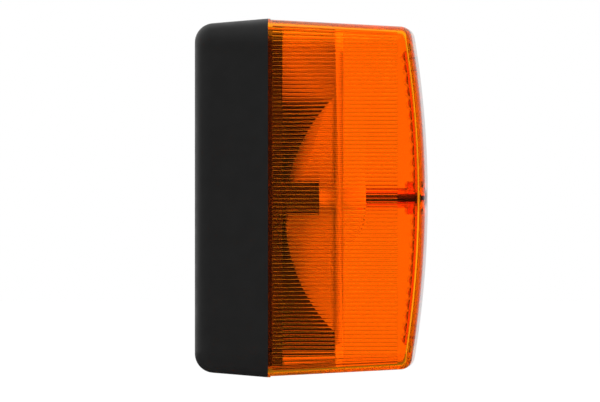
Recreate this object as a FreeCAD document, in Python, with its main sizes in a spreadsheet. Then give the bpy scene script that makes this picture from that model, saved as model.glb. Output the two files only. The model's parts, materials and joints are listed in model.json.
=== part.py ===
import FreeCAD, Part
import math
import os
import Sketcher

# Vehicle indicator lamp: black housing, amber lens with flutes, reflector, bulb and bulb holder.
# X leaves the mounting face towards the lens, Z is up, Y is across. All sizes in millimetres.

doc = FreeCAD.newDocument("indicator_lamp")
sheet = doc.addObject("Spreadsheet::Sheet", "dims")
rows = []


def size(alias, number):
    """Put one named size, or a formula of others, into the sheet."""
    rows.append(alias)
    cell = "B%d" % len(rows)
    sheet.set("A%d" % len(rows), alias)
    sheet.set(cell, str(number))
    sheet.setAlias(cell, alias)


# Overall form
size("lamp_height", 130)
size("lamp_width", 100)
size("corner_radius", 9.8)
size("seam_depth", 26.5)
size("housing_draft", 4.8)
size("back_edge_radius", 7)
size("housing_wall", 2.5)
size("clearance", 0.3)
size("cut_over", 1)

# Rim of the housing: outer land, gasket groove, inner lip
size("rim_land", 1.2)
size("groove_depth", 1.6)
size("groove_floor", 1.6)
size("lip_thickness", 1.5)
size("lip_height", 5.2)

# Lens
size("lens_depth", 58.3)
size("lens_wall", 2.6)
size("lens_step", 0.35)
size("lens_flange", 0.9)
size("lens_draft", 3)
size("front_edge_radius", 4.4)
size("front_radius", 360)
size("front_radius_across", 640)
size("flute_pitch", 1.46)
size("flute_width", 0.73)
size("flute_rise", 0.25)
size("flute_base", 0.06)
size("flute_start", 1.6)
size("flute_stop", 11.5)
size("row_pitch", 4.28)
size("row_rise", 1.9)
size("row_base", 0.15)
size("optic_overlap", 0.6)
size("row_margin", 8.5)
size("bow_over", 10)
size("rim_overlap", 1)

# Screws, posts and pillars
size("post_inset", 14)
size("post_width", 8)
size("post_height", 11.7)
size("post_corner", 1.2)
size("post_top", 45)
size("pillar_diameter", 7.3)
size("pillar_end", 61.9)
size("pillar_root", 12)
size("pillar_root_cover", 1.4)
size("pillar_root_length", 5.7)
size("screw_diameter", 2.9)
size("screw_length", 52)
size("screw_sink", 3.4)
size("head_diameter", 5.6)
size("head_depth", 1.7)
size("recess_span", 3.2)
size("recess_width", 0.7)
size("recess_depth", 0.8)
size("pilot_depth", 18)
size("seal_thickness", 0.9)

# Reflector
size("flange_back", 50.9)
size("flange_thickness", 2.8)
size("flange_gap", 0.7)
size("trough_radius", 60.4)
size("trough_vertex", 32.9)
size("trough_gap", 1)
size("reflector_wall", 2)
size("axis_height", -6)
size("neck_diameter", 22)
size("seat_step", 2)
size("rib_thickness", 2)
size("rib_back", 24)
size("rib_top", 58)
size("rib_chamfer", 7)
size("rib_clear", 0.5)
size("seat_height", 6)
size("neck_reach", 12)
size("neck_depth", 20)

# Back wall fittings
size("fixing_spread", 90)
size("fixing_hole", 9)
size("fixing_boss", 15)
size("fixing_boss_height", 5)
size("sleeve_bore", 5.5)
size("entry_height", 26)
size("entry_bore", 12)
size("entry_recess", 20)
size("entry_recess_depth", 3.2)
size("entry_boss", 25)
size("grommet_bore", 6)
size("grommet_sunk", 0.6)
size("grommet_wall", 1.6)
size("grommet_barb", 2)
size("grommet_snout", 3)

# Bulb holder
size("cap_play", 0.2)
size("shell_wall", 0.7)
size("shell_back", 3.6)
size("shell_flange", 34)
size("shell_flange_thickness", 1)
size("slot_width", 2.6)
size("slot_corner", 0.3)
size("rivet_spread", 28)
size("rivet_diameter", 3)
size("rivet_head", 5.4)
size("rivet_head_height", 1)
size("rivet_stand", 0.07)
size("base_thickness", 2)
size("strip_thickness", 0.6)
size("tab_width", 4.8)
size("tab_length", 10)
size("window_start", 4)
size("window_depth", 8)
size("window_play", 0.6)
size("spring_foot", 5.5)
size("spring_foot_inside", 4.7)
size("spring_tip", 1.5)
size("spring_tip_inside", 1.1)
size("earth_fold_inset", 2.2)
size("earth_gap", 0.8)

# Bulb
size("pin_station", 18)
size("cap_diameter", 15)
size("cap_behind_pins", 6.5)
size("cap_ahead_of_pins", 12.5)
size("cap_wall", 0.4)
size("pin_diameter", 2)
size("pin_stand", 1)
size("pin_root", 1.4)
size("cap_end_hole", 9)
size("glass_diameter", 26.5)
size("glass_play", 0.3)
size("glass_wall", 0.7)
size("glass_in_cap", 4)
size("shoulder_rise", 3)
size("shoulder_wall", 0.3)
size("shoulder_turn", 125)
size("glass_reach", 44.2)
size("filament_reach", 31.8)
size("filament_length", 5)
size("contact_diameter", 5)
size("contact_behind_pins", 8.6)
size("contact_taper", 0.6)
size("insulator_stand", 1.3)
size("insulator_depth", 2)
size("insulator_nose", 6)
size("stem_height", 11)
size("stem_diameter", 5.2)
size("stem_flare_height", 3)
size("stem_rim_height", 0.8)
size("wire_diameter", 0.6)
size("coil_diameter", 0.9)

# Sizes that follow from the others
size("flute_height", "=flute_base + flute_rise")
size("lip_lean", "=lip_height * tan(lens_draft * 1 deg)")
size("groove_width", "=lens_step + lens_wall + lip_lean + flute_height + clearance - rim_land")
size("post_spread", "=lamp_width - 2 * post_inset")
size("trough_width", "=post_spread - post_width - 2 * trough_gap")
size("pilot_diameter", "=screw_diameter")
size("shell_bore", "=cap_diameter + 2 * cap_play")
size("pin_span", "=cap_diameter + 2 * pin_stand")
size("glass_neck", "=cap_diameter - 2 * cap_wall - 2 * glass_play")
size("seat_diameter", "=shell_flange + seat_step")

doc.recompute()


def number(text):
    """Value of an expression on the sheet, as a plain number."""
    result = sheet.evalExpression(text)
    return float(getattr(result, "Value", result))


def body(label):
    made = doc.addObject("PartDesign::Body", label)
    made.Label = label
    return made


def plane(owner, role):
    for item in owner.Origin.OriginFeatures:
        if item.Role == role:
            return item
    raise RuntimeError("no plane " + role)


def sketch(owner, name, role, along="0", right="0", up="0"):
    """Sketch on an origin plane, its own origin moved by three expressions."""
    made = owner.newObject("Sketcher::SketchObject", name)
    made.AttachmentSupport = [(plane(owner, role), "")]
    made.MapMode = "FlatFace"
    made.setExpression("AttachmentOffset.Base.x", right)
    made.setExpression("AttachmentOffset.Base.y", up)
    made.setExpression("AttachmentOffset.Base.z", along)
    return made


def limit(made, kind, *values):
    """Add a driving constraint whose last value is an expression."""
    index = made.addConstraint(Sketcher.Constraint(kind, *values[:-1], number(values[-1])))
    made.setExpression("Constraints[%d]" % index, values[-1])


def circle(made, diameter):
    ring = Part.Circle(FreeCAD.Vector(0, 0, 0), FreeCAD.Vector(0, 0, 1), number(diameter) / 2)
    index = made.addGeometry(ring)
    made.addConstraint(Sketcher.Constraint("Coincident", index, 3, -1, 1))
    limit(made, "Diameter", index, diameter)


def circle_pair(made, diameter, spread, upright=False):
    """Two equal circles on one sketch axis, as far from the origin as each other."""
    half = number(spread) / 2
    spots = [FreeCAD.Vector(-half, 0, 0), FreeCAD.Vector(half, 0, 0)]
    axis = -1
    if upright:
        spots = [FreeCAD.Vector(0, -half, 0), FreeCAD.Vector(0, half, 0)]
        axis = -2
    first = made.addGeometry(Part.Circle(spots[0], FreeCAD.Vector(0, 0, 1), number(diameter) / 2))
    second = made.addGeometry(Part.Circle(spots[1], FreeCAD.Vector(0, 0, 1), number(diameter) / 2))
    made.addConstraint(Sketcher.Constraint("PointOnObject", first, 3, axis))
    made.addConstraint(Sketcher.Constraint("Symmetric", first, 3, second, 3, -1, 1))
    made.addConstraint(Sketcher.Constraint("Equal", first, second))
    limit(made, "DistanceY" if upright else "DistanceX", first, 3, second, 3, spread)
    limit(made, "Diameter", first, diameter)


def rounded(made, width, height, radius):
    """Rounded rectangle about the sketch origin."""
    w = number(width) / 2
    h = number(height) / 2
    r = number(radius)
    up = FreeCAD.Vector(0, 0, 1)
    corners = [(w - r, r - h, -90), (w - r, h - r, 0), (r - w, h - r, 90), (r - w, r - h, 180)]
    sides = [(r - w, -h, w - r, -h), (w, r - h, w, h - r), (w - r, h, r - w, h), (-w, h - r, -w, r - h)]
    lines = []
    arcs = []
    for x0, y0, x1, y1 in sides:
        line = Part.LineSegment(FreeCAD.Vector(x0, y0, 0), FreeCAD.Vector(x1, y1, 0))
        lines.append(made.addGeometry(line))
    for x, y, turn in corners:
        ring = Part.Circle(FreeCAD.Vector(x, y, 0), up, r)
        arcs.append(made.addGeometry(Part.ArcOfCircle(ring, math.radians(turn), math.radians(turn + 90))))
    for i in range(4):
        made.addConstraint(Sketcher.Constraint("Tangent", lines[i], 2, arcs[i], 1))
        made.addConstraint(Sketcher.Constraint("Tangent", arcs[i], 2, lines[(i + 1) % 4], 1))
        made.addConstraint(Sketcher.Constraint("Vertical" if i % 2 else "Horizontal", lines[i]))
    for i in range(3):
        made.addConstraint(Sketcher.Constraint("Equal", arcs[0], arcs[i + 1]))
    made.addConstraint(Sketcher.Constraint("Symmetric", arcs[0], 3, arcs[2], 3, -1, 1))
    limit(made, "DistanceX", lines[3], 1, lines[1], 1, width)
    limit(made, "DistanceY", lines[0], 1, lines[2], 1, height)
    limit(made, "Radius", arcs[0], radius)


def outline(made, points):
    """Closed outline through points given as expressions.

    A third entry is the radius of an arc that leads to that point; a minus sign turns it clockwise."""
    spots = [(number(p[0]), number(p[1])) for p in points]
    pieces = []
    for i, point in enumerate(points):
        x0, y0 = spots[i - 1]
        x1, y1 = spots[i]
        if len(point) == 2:
            line = Part.LineSegment(FreeCAD.Vector(x0, y0, 0), FreeCAD.Vector(x1, y1, 0))
            pieces.append((made.addGeometry(line), 1, 2))
            continue
        r = number(point[2])
        turn = 1 if r > 0 else -1
        chord = math.hypot(x1 - x0, y1 - y0)
        rise = turn * math.sqrt(r * r - chord * chord / 4) / chord
        cx = (x0 + x1) / 2 - (y1 - y0) * rise
        cy = (y0 + y1) / 2 + (x1 - x0) * rise
        a0 = math.atan2(y0 - cy, x0 - cx)
        a1 = math.atan2(y1 - cy, x1 - cx)
        ring = Part.Circle(FreeCAD.Vector(cx, cy, 0), FreeCAD.Vector(0, 0, 1), abs(r))
        if turn > 0:
            pieces.append((made.addGeometry(Part.ArcOfCircle(ring, a0, a1)), 1, 2))
        else:
            pieces.append((made.addGeometry(Part.ArcOfCircle(ring, a1, a0)), 2, 1))
    for i, point in enumerate(points):
        piece, start, end = pieces[i]
        follower = pieces[(i + 1) % len(points)]
        made.addConstraint(Sketcher.Constraint("Coincident", piece, end, follower[0], follower[1]))
        for kind, axis, text in (("DistanceX", -2, point[0]), ("DistanceY", -1, point[1])):
            if text == "0":
                made.addConstraint(Sketcher.Constraint("PointOnObject", piece, end, axis))
            else:
                limit(made, kind, piece, end, text)
        if len(point) == 3:
            limit(made, "Radius", piece, "abs(%s)" % point[2])


def pad(owner, name, profile, length, midplane=False, backward=False):
    made = owner.newObject("PartDesign::Pad", name)
    made.Profile = profile
    made.setExpression("Length", length)
    made.Midplane = midplane
    made.Reversed = backward
    owner.Tip = made
    return made


def pocket(owner, name, profile, length, midplane=False, forward=False):
    """Cut along minus the sketch normal, or along it where forward is set."""
    made = owner.newObject("PartDesign::Pocket", name)
    made.Profile = profile
    made.setExpression("Length", length)
    made.Midplane = midplane
    made.Reversed = forward
    owner.Tip = made
    return made


def turned(owner, name, profile, kind="PartDesign::Revolution", axis="H_Axis"):
    made = owner.newObject(kind, name)
    made.Profile = profile
    made.ReferenceAxis = (profile, [axis])
    made.Angle = 360
    owner.Tip = made
    return made


def rearmost(shape):
    return min(shape.Faces, key=lambda face: face.CenterOfMass.x)


def foremost(shape):
    return max(shape.Faces, key=lambda face: face.CenterOfMass.x)


def drafted(label, width, height, radius, wide_end, narrow_end, draft):
    """Body that starts as a rounded box along X: flat walls that lean in and conical corners."""
    w = number(width) / 2
    h = number(height) / 2
    r = number(radius)
    x0 = number(wide_end)
    x1 = number(narrow_end)
    lean = abs(x1 - x0) * math.tan(math.radians(number(draft)))
    y = w - r
    z = h - r
    at = FreeCAD.Vector
    middle = Part.makeBox(abs(x1 - x0), y, z, at(min(x0, x1), 0, 0))
    side_face = [at(x0, y, 0), at(x0, w, 0), at(x1, w - lean, 0), at(x1, y, 0), at(x0, y, 0)]
    side = Part.Face(Part.makePolygon(side_face)).extrude(at(0, 0, z))
    top_face = [at(x0, 0, z), at(x0, 0, h), at(x1, 0, h - lean), at(x1, 0, z), at(x0, 0, z)]
    top = Part.Face(Part.makePolygon(top_face)).extrude(at(0, y, 0))
    corner_face = Part.Face(Part.makePolygon([p + at(0, 0, z) for p in side_face]))
    corner = corner_face.revolve(at(0, y, z), at(1, 0, 0), 90)
    quarter = middle.fuse([side, top, corner]).removeSplitter()
    half = quarter.fuse(quarter.mirror(at(0, 0, 0), at(0, 1, 0))).removeSplitter()
    whole = half.fuse(half.mirror(at(0, 0, 0), at(0, 0, 1))).removeSplitter()
    block = doc.addObject("Part::Feature", label + "_block")
    block.Shape = whole
    made = body(label)
    made.BaseFeature = block
    doc.recompute()
    return made


def edges_of(shape, face):
    """Names of the edges round one face."""
    names = []
    for index, edge in enumerate(shape.Edges):
        if any(edge.isSame(other) for other in face.Edges):
            names.append("Edge%d" % (index + 1))
    return names


def fillet(owner, name, base, pick, radius):
    """Round the edges of the face that pick takes from the shape."""
    doc.recompute()
    made = owner.newObject("PartDesign::Fillet", name)
    made.Base = (base, edges_of(base.Shape, pick(base.Shape)))
    made.setExpression("Radius", radius)
    owner.Tip = made
    return made


inset = "2 * (dims.rim_land + dims.groove_width)"
bulb_axis = "dims.axis_height"

# Housing: drafted box, rounded behind, hollowed from the front
def housing_form(label, depth):
    """Drafted box with a rounded back, a depth inside the outer face of the housing."""
    less = " - 2 * " + depth
    made = drafted(label, "dims.lamp_width" + less, "dims.lamp_height" + less,
                   "dims.corner_radius - " + depth, "dims.seam_depth", depth, "dims.housing_draft")
    fillet(made, label + "_edge", made.Tip, rearmost, "dims.back_edge_radius - " + depth)
    return made


def hollowed(owner, name, inside):
    """Cut the inside form out of a body."""
    made = owner.newObject("PartDesign::Boolean", name)
    made.setObjects([inside])
    made.Type = "Cut"
    owner.Tip = made


housing = housing_form("housing", "0")
hollowed(housing, "housing_hollow", housing_form("housing_core", "dims.housing_wall"))

ledge_depth = "(dims.groove_depth + dims.groove_floor)"
ledge = sketch(housing, "ledge_outline", "YZ_Plane", "dims.seam_depth")
rounded(ledge, "dims.lamp_width - 2 * dims.rim_land", "dims.lamp_height - 2 * dims.rim_land",
        "dims.corner_radius - dims.rim_land")
lip_outer = "dims.corner_radius - dims.rim_land - dims.groove_width"
lip_inner = lip_outer + " - dims.lip_thickness"
rounded(ledge, "dims.lamp_width - 2 * dims.lip_thickness - " + inset,
        "dims.lamp_height - 2 * dims.lip_thickness - " + inset, lip_inner)
pad(housing, "ledge", ledge, ledge_depth, backward=True)
lip = sketch(housing, "lip_outline", "YZ_Plane", "dims.seam_depth - " + ledge_depth)
rounded(lip, "dims.lamp_width - " + inset, "dims.lamp_height - " + inset, lip_outer)
rounded(lip, "dims.lamp_width - 2 * dims.lip_thickness - " + inset,
        "dims.lamp_height - 2 * dims.lip_thickness - " + inset, lip_inner)
pad(housing, "lip", lip, "dims.lip_height + " + ledge_depth)
groove = sketch(housing, "groove_outline", "YZ_Plane", "dims.seam_depth")
rounded(groove, "dims.lamp_width - 2 * dims.rim_land", "dims.lamp_height - 2 * dims.rim_land",
        "dims.corner_radius - dims.rim_land")
rounded(groove, "dims.lamp_width - " + inset, "dims.lamp_height - " + inset, lip_outer)
pocket(housing, "groove", groove, "dims.groove_depth")

# Screw posts, one each side
post_base = "dims.housing_wall / 2"
for side in (-1, 1):
    tag = "left" if side < 0 else "right"
    reach = "%d * dims.post_spread / 2" % side
    post = sketch(housing, "post_outline_" + tag, "YZ_Plane", post_base, reach)
    rounded(post, "dims.post_width", "dims.post_height", "dims.post_corner")
    pad(housing, "post_" + tag, post, "dims.post_top - " + post_base)
pilot = sketch(housing, "pilot_outline", "YZ_Plane", "dims.post_top")
circle_pair(pilot, "dims.pilot_diameter", "dims.post_spread")
pocket(housing, "pilot_holes", pilot, "dims.pilot_depth")

# Fixing bosses and cable entry in the back wall
boss = sketch(housing, "fixing_boss_outline", "YZ_Plane", post_base)
circle_pair(boss, "dims.fixing_boss", "dims.fixing_spread", upright=True)
pad(housing, "fixing_bosses", boss, "dims.fixing_boss_height - " + post_base)
hole = sketch(housing, "fixing_hole_outline", "YZ_Plane")
circle_pair(hole, "dims.fixing_hole", "dims.fixing_spread", upright=True)
pocket(housing, "fixing_holes", hole, "dims.fixing_boss_height + dims.cut_over", forward=True)
entry = sketch(housing, "entry_boss_outline", "YZ_Plane", post_base, "0", "dims.entry_height")
circle(entry, "dims.entry_boss")
entry_front = "dims.entry_recess_depth + dims.housing_wall"
pad(housing, "entry_boss", entry, entry_front + " - " + post_base)
recess = sketch(housing, "entry_recess_outline", "YZ_Plane", "0", "0", "dims.entry_height")
circle(recess, "dims.entry_recess")
pocket(housing, "entry_recess", recess, "dims.entry_recess_depth", forward=True)
bore = sketch(housing, "entry_bore_outline", "YZ_Plane", "0", "0", "dims.entry_height")
circle(bore, "dims.entry_bore")
pocket(housing, "entry_bore", bore, entry_front + " + dims.cut_over", forward=True)

# Gasket in the groove of the rim
lens_gasket = body("lens_gasket")
ring = sketch(lens_gasket, "gasket_outline", "YZ_Plane", "dims.seam_depth - dims.groove_depth")
rounded(ring, "dims.lamp_width - 2 * dims.rim_land", "dims.lamp_height - 2 * dims.rim_land",
        "dims.corner_radius - dims.rim_land")
rounded(ring, "dims.lamp_width - " + inset, "dims.lamp_height - " + inset, lip_outer)
pad(lens_gasket, "gasket_ring", ring, "dims.groove_depth")

# Lens: drafted block with a bowed front, hollowed by a core of the same form
rim_width = "(dims.lamp_width - 2 * dims.lens_step)"
rim_height = "(dims.lamp_height - 2 * dims.lens_step)"
bow_swing = 30
bow_centre = "(dims.seam_depth + dims.lens_depth - dims.front_radius_across)"


def lens_form(label, depth):
    """Drafted block with a bowed and rounded front, a depth inside the outer face of the lens."""
    less = " - 2 * " + depth
    made = drafted(label, rim_width + less, rim_height + less,
                   "dims.corner_radius - dims.lens_step - " + depth, "dims.seam_depth",
                   "dims.seam_depth + dims.lens_depth + dims.front_edge_radius", "dims.lens_draft")
    bow = sketch(made, label + "_bow", "XZ_Plane", "0", bow_centre)
    reach = "(dims.front_radius - %s)" % depth
    crown = "(dims.front_radius_across - %s)" % depth
    edge = "(dims.lamp_height / 2 + dims.bow_over)"
    fall = "(%s - sqrt(%s ^ 2 - %s ^ 2))" % (reach, reach, edge)
    outline(bow, [
        (crown + " + 3 * dims.bow_over", "-" + edge),
        (crown + " + 3 * dims.bow_over", edge),
        ("%s - %s" % (crown, fall), edge),
        ("%s - %s" % (crown, fall), "-" + edge, "-" + reach),
    ])
    cut = turned(made, label + "_front", bow, "PartDesign::Groove", "V_Axis")
    cut.Angle = bow_swing
    cut.Midplane = True
    fillet(made, label + "_edge", cut, foremost, "dims.front_edge_radius - " + depth)
    return made


lens = lens_form("lens", "0")
hollowed(lens, "lens_hollow", lens_form("lens_core", "dims.lens_wall"))

rim = sketch(lens, "lens_flange_outline", "YZ_Plane", "dims.seam_depth")
rounded(rim, "dims.lamp_width", "dims.lamp_height", "dims.corner_radius")
rounded(rim, rim_width + " - 2 * dims.rim_overlap", rim_height + " - 2 * dims.rim_overlap",
        "dims.corner_radius - dims.lens_step - dims.rim_overlap")
pad(lens, "lens_rim_flange", rim, "dims.lens_flange")

# Fine ridged flutes along the inside of both lens sides, with flat lands between them
pitch = number("dims.flute_pitch")
rise = number("dims.flute_rise")
flute_half = number("dims.flute_width / 2")
inner_half = number("dims.lamp_width / 2 - dims.lens_step - dims.lens_wall")
flutes = 2 * int(number("dims.lamp_height / 2 - dims.corner_radius") / pitch) + 1
slope = math.tan(math.radians(number("dims.lens_draft")))


def line(made, first, second):
    """Straight stretch of a sketch between two points."""
    made.addGeometry(Part.LineSegment(FreeCAD.Vector(*first, 0), FreeCAD.Vector(*second, 0)))


for side in (-1, 1):
    tag = "left" if side < 0 else "right"
    wall = inner_half - slope * number("dims.flute_start")
    deep = side * (wall + number("dims.optic_overlap"))
    land = side * (wall - number("dims.flute_base"))
    bank = sketch(lens, "flute_outline_" + tag, "YZ_Plane", "dims.seam_depth + dims.flute_start")
    low = -flutes * pitch / 2
    line(bank, (land, low), (deep, low))
    line(bank, (deep, low), (deep, -low))
    line(bank, (deep, -low), (land, -low))
    crest = land - side * rise
    reached = low
    for i in range(flutes):
        middle = low + (i + 0.5) * pitch
        line(bank, (land, reached), (land, middle - flute_half))
        line(bank, (land, middle - flute_half), (crest, middle))
        line(bank, (crest, middle), (land, middle + flute_half))
        reached = middle + flute_half
    line(bank, (land, reached), (land, -low))
    made = pad(lens, "flutes_" + tag, bank, "dims.lens_depth - dims.flute_start - dims.flute_stop")
    made.UseCustomVector = True
    made.Direction = FreeCAD.Vector(1, -side * slope, 0)

# Horizontal optic rows inside the bowed front
row_pitch = number("dims.row_pitch")
row_rise = number("dims.row_rise")
row_radius = row_pitch * row_pitch / (8 * row_rise) + row_rise / 2
bow_inner = number("dims.front_radius - dims.lens_wall")
across = number("dims.front_radius_across")
row_step = row_pitch / bow_inner
row_count = 2 * int(number("dims.lamp_height / 2 - dims.row_margin") / row_pitch) - 1


def on_bow(depth, angle):
    """Point of the front section at a depth behind the outer face and an angle from its middle."""
    reach = number("dims.front_radius") - depth
    x = across - number("dims.front_radius") + reach * math.cos(angle)
    return FreeCAD.Vector(x, reach * math.sin(angle), 0)


hollow = number("dims.lens_wall + dims.row_base")
sunk = number("dims.lens_wall - dims.optic_overlap")
rows_outline = sketch(lens, "row_outline", "XZ_Plane", "0", bow_centre)
half_turn = row_count * row_step / 2
rows_outline.addGeometry(Part.Arc(on_bow(sunk, -half_turn), on_bow(sunk, 0), on_bow(sunk, half_turn)))
for end in (-half_turn, half_turn):
    rows_outline.addGeometry(Part.LineSegment(on_bow(sunk, end), on_bow(hollow, end)))
for i in range(row_count):
    low = -half_turn + i * row_step
    crown = on_bow(hollow + row_rise, low + row_step / 2)
    rows_outline.addGeometry(Part.Arc(on_bow(hollow, low), crown, on_bow(hollow, low + row_step)))
optics = turned(lens, "optic_rows", rows_outline, "PartDesign::Revolution", "V_Axis")
row_half = inner_half - slope * number("dims.lens_depth") - number("dims.front_edge_radius - dims.lens_wall")
row_half = row_half - number("dims.optic_overlap")
optics.Angle = 2 * math.degrees(math.asin(row_half / across))
optics.Midplane = True

# Screw pillars behind the front, with a wider root and a sunk seat for the head
face_fall = "(dims.post_spread / 2) ^ 2 / 2 / dims.front_radius_across"
face_here = "(dims.seam_depth + dims.lens_depth - %s)" % face_fall
head_floor = "(%s - dims.screw_sink)" % face_here
pillar = sketch(lens, "pillar_outline", "YZ_Plane", "dims.pillar_end")
circle_pair(pillar, "dims.pillar_diameter", "dims.post_spread")
pad(lens, "pillars", pillar, face_here + " - dims.cut_over - dims.pillar_end")
root = sketch(lens, "pillar_root_outline", "YZ_Plane", face_here + " - dims.pillar_root_cover")
circle_pair(root, "dims.pillar_root", "dims.post_spread")
pad(lens, "pillar_roots", root, "dims.pillar_root_length", backward=True)
sink = sketch(lens, "sink_outline", "YZ_Plane", head_floor)
circle_pair(sink, "dims.head_diameter + 2 * dims.clearance", "dims.post_spread")
pocket(lens, "sinks", sink, "dims.screw_sink + 2 * dims.cut_over", forward=True)
bores = sketch(lens, "screw_bore_outline", "YZ_Plane", head_floor)
circle_pair(bores, "dims.screw_diameter + 2 * dims.clearance", "dims.post_spread")
pocket(lens, "screw_bores", bores, head_floor + " - dims.pillar_end + dims.cut_over")

# Reflector: trough with closed ends, flange, a rib behind it and screw bosses
reflector = body("reflector")
rim_x = "dims.flange_back"
trough_middle = "(dims.trough_vertex + dims.trough_radius)"
bowl = sketch(reflector, "trough_outline", "XZ_Plane")
bowl_reach = "sqrt(dims.trough_radius ^ 2 - (%s - %s) ^ 2)" % (trough_middle, rim_x)
outline(bowl, [
    (rim_x, "dims.axis_height + " + bowl_reach),
    (rim_x, "dims.axis_height - " + bowl_reach, "dims.trough_radius"),
])
pad(reflector, "trough", bowl, "dims.trough_width", midplane=True)
seat_back = "dims.trough_vertex - dims.seat_step"
seat = sketch(reflector, "holder_seat_outline", "YZ_Plane", seat_back, "0", bulb_axis)
circle(seat, "dims.seat_diameter")
pad(reflector, "holder_seat", seat, "dims.seat_height")
plate = sketch(reflector, "flange_outline", "YZ_Plane", rim_x)
shrink = "(dims.flange_back + dims.flange_thickness - dims.seam_depth)"
flange_inset = " - 2 * (dims.lens_step + dims.lens_wall + dims.flange_gap)"
rounded(plate,
        "dims.lamp_width%s - 2 * %s * tan(dims.lens_draft * 1 deg)" % (flange_inset, shrink),
        "dims.lamp_height%s - 2 * %s * tan(dims.lens_draft * 1 deg)" % (flange_inset, shrink),
        "dims.corner_radius - dims.lens_wall")
pad(reflector, "flange", plate, "dims.flange_thickness")
for sign in ("", "-"):
    tag = "lower" if sign else "upper"
    rib = sketch(reflector, "rib_outline_" + tag, "XZ_Plane")
    inner_end = "dims.axis_height + %s(dims.shell_flange / 2 + dims.rib_clear)" % (sign or "1 * ")
    outline(rib, [
        ("dims.rib_back", inner_end),
        (rim_x + " + dims.flange_thickness / 2", inner_end),
        (rim_x + " + dims.flange_thickness / 2", sign + "dims.rib_top"),
        ("dims.rib_back + dims.rib_chamfer", sign + "dims.rib_top"),
        ("dims.rib_back", sign + "(dims.rib_top - dims.rib_chamfer)"),
    ])
    pad(reflector, "rib_" + tag, rib, "dims.rib_thickness", midplane=True)
inside = sketch(reflector, "trough_inside_outline", "XZ_Plane")
inner_radius = "(dims.trough_radius - dims.reflector_wall)"
mouth = "(dims.flange_back + dims.flange_thickness + dims.cut_over)"
mouth_reach = "sqrt(%s ^ 2 - (%s - %s) ^ 2)" % (inner_radius, trough_middle, mouth)
outline(inside, [
    (mouth, "dims.axis_height + " + mouth_reach),
    (mouth, "dims.axis_height - " + mouth_reach, inner_radius),
])
pocket(reflector, "trough_inside", inside, "dims.trough_width - 2 * dims.reflector_wall", midplane=True)
bosses = sketch(reflector, "boss_outline", "YZ_Plane", "dims.post_top")
circle_pair(bosses, "dims.pillar_diameter", "dims.post_spread")
pad(reflector, "bosses", bosses, "dims.pillar_end - dims.post_top")
holes = sketch(reflector, "boss_bore_outline", "YZ_Plane", "dims.pillar_end")
circle_pair(holes, "dims.screw_diameter + 2 * dims.clearance", "dims.post_spread")
pocket(reflector, "boss_bores", holes, "dims.pillar_end - dims.post_top + dims.cut_over")
neck_start = "dims.trough_vertex + dims.neck_reach"
neck = sketch(reflector, "neck_outline", "YZ_Plane", neck_start, "0", bulb_axis)
circle(neck, "dims.neck_diameter")
pocket(reflector, "neck", neck, "dims.neck_depth")
rivet_holes = sketch(reflector, "rivet_hole_outline", "YZ_Plane", neck_start, "0", bulb_axis)
circle_pair(rivet_holes, "dims.rivet_diameter", "dims.rivet_spread")
pocket(reflector, "rivet_holes", rivet_holes, "dims.neck_depth")

doc.recompute()


def fused(label, shapes):
    """Several solids of one kind in one node."""
    made = doc.addObject("Part::Feature", label)
    made.Label = label
    made.Shape = Part.makeCompound(shapes)
    return made


def station(length, y, z):
    return FreeCAD.Vector(length, y, z)


ahead = FreeCAD.Vector(1, 0, 0)

# Lens screws: countersunk head on the seal, shank to the bottom of the post
seal_thickness = number("dims.seal_thickness")
recess_span = number("dims.recess_span")
recess_width = number("dims.recess_width")
recess_depth = number("dims.recess_depth")
head_seat = number(head_floor) + seal_thickness
head_r = number("dims.head_diameter / 2")
shank_r = number("dims.screw_diameter / 2")
screws = []
seals = []
for side in (-1, 1):
    y = side * number("dims.post_spread / 2")
    top = head_seat + number("dims.head_depth")
    shank = Part.makeCylinder(shank_r, number("dims.screw_length"), station(top, y, 0), -ahead)
    head = Part.makeCylinder(head_r, number("dims.head_depth"), station(head_seat, y, 0), ahead)
    slot_corner = station(top - recess_depth, y - recess_span / 2, -recess_width / 2)
    slot = Part.makeBox(recess_depth, recess_span, recess_width, slot_corner)
    cross_corner = station(top - recess_depth, y - recess_width / 2, -recess_span / 2)
    cross = Part.makeBox(recess_depth, recess_width, recess_span, cross_corner)
    screws.append(shank.fuse(head).removeSplitter().cut(slot).cut(cross))
    foot = station(number(head_floor), y, 0)
    disc = Part.makeCylinder(head_r, seal_thickness, foot, ahead)
    seals.append(disc.cut(Part.makeCylinder(shank_r, seal_thickness, foot, ahead)))
lens_screws = fused("lens_screws", screws)
screw_seals = fused("screw_seals", seals)

# Steel sleeves in the fixing bosses
sleeves = []
for side in (-1, 1):
    z = side * number("dims.fixing_spread / 2")
    length = number("dims.fixing_boss_height")
    tube = Part.makeCylinder(number("dims.fixing_hole / 2"), length, station(0, 0, z), ahead)
    opening = Part.makeCylinder(number("dims.sleeve_bore / 2"), length, station(0, 0, z), ahead)
    sleeves.append(tube.cut(opening))
mounting_sleeves = fused("mounting_sleeves", sleeves)

# Cable grommet, clipped round the wall of the entry
cable_grommet = body("cable_grommet")
profile = sketch(cable_grommet, "grommet_outline", "XZ_Plane", "0", "0", "dims.entry_height")
outline(profile, [
    ("dims.grommet_sunk", "dims.grommet_bore / 2"),
    (entry_front + " + dims.grommet_snout", "dims.grommet_bore / 2"),
    (entry_front + " + dims.grommet_snout", "dims.grommet_bore / 2 + dims.grommet_wall"),
    (entry_front + " + dims.grommet_barb", "dims.entry_bore / 2 + dims.grommet_barb"),
    (entry_front, "dims.entry_bore / 2 + dims.grommet_barb"),
    (entry_front, "dims.entry_bore / 2"),
    ("dims.entry_recess_depth", "dims.entry_bore / 2"),
    ("dims.entry_recess_depth", "dims.entry_recess / 2 - dims.clearance"),
    ("dims.grommet_sunk", "dims.entry_recess / 2 - dims.clearance"),
])
turned(cable_grommet, "grommet_ring", profile)

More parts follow.
